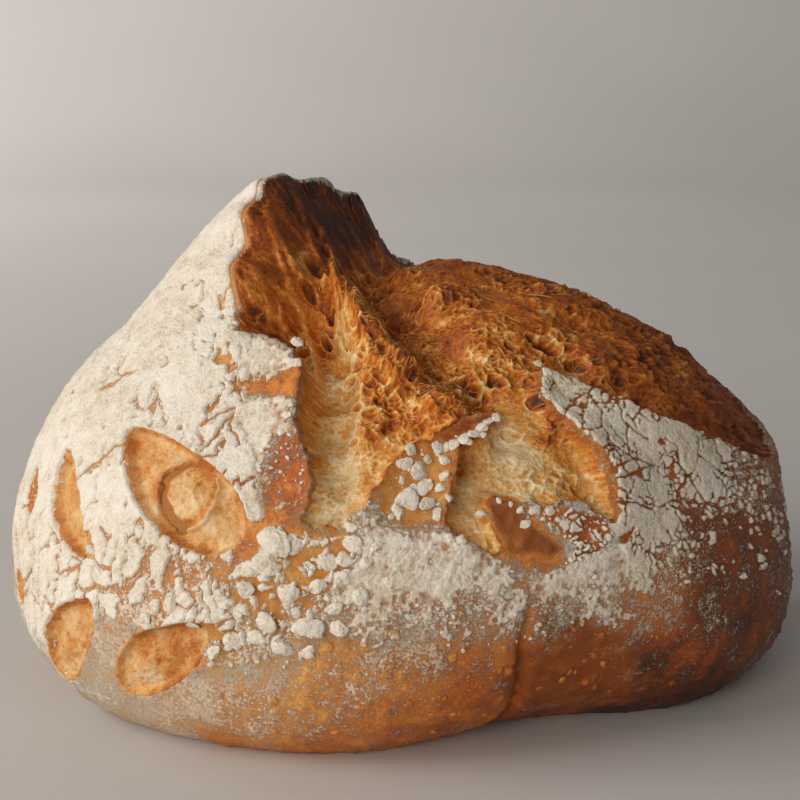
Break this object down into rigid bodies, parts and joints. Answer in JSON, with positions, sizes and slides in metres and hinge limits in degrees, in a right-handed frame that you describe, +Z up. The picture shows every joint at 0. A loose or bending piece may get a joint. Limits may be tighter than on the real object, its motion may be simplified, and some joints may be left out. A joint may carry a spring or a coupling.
{
  "type": "sourdough loaf",
  "caption": "Oval rustic sourdough loaf with a tall lifted ear, a torn open crumb, a thick side flap, leaf-shaped scores and a floured crust.",
  "frame": {"origin": "centre of the loaf's plan, on the surface that it stands on", "axes": "+X to the loaf's right along its length, +Y to its back, +Z up"},
  "size_m": [0.2458, 0.2104, 0.1596],
  "materials": {
    "crust": "golden-brown baked crust, half glossy where bare, matte and white where flour lies on it",
    "crumb": "torn open crumb, matte and fibrous, cream in the hollows and orange-brown at the tips",
    "flour": "dry flour baked on in clumps, dead matte off-white"
  },
  "bodies": {
    "root": {"loaf": "crust"}
  },
  "joints": []
}
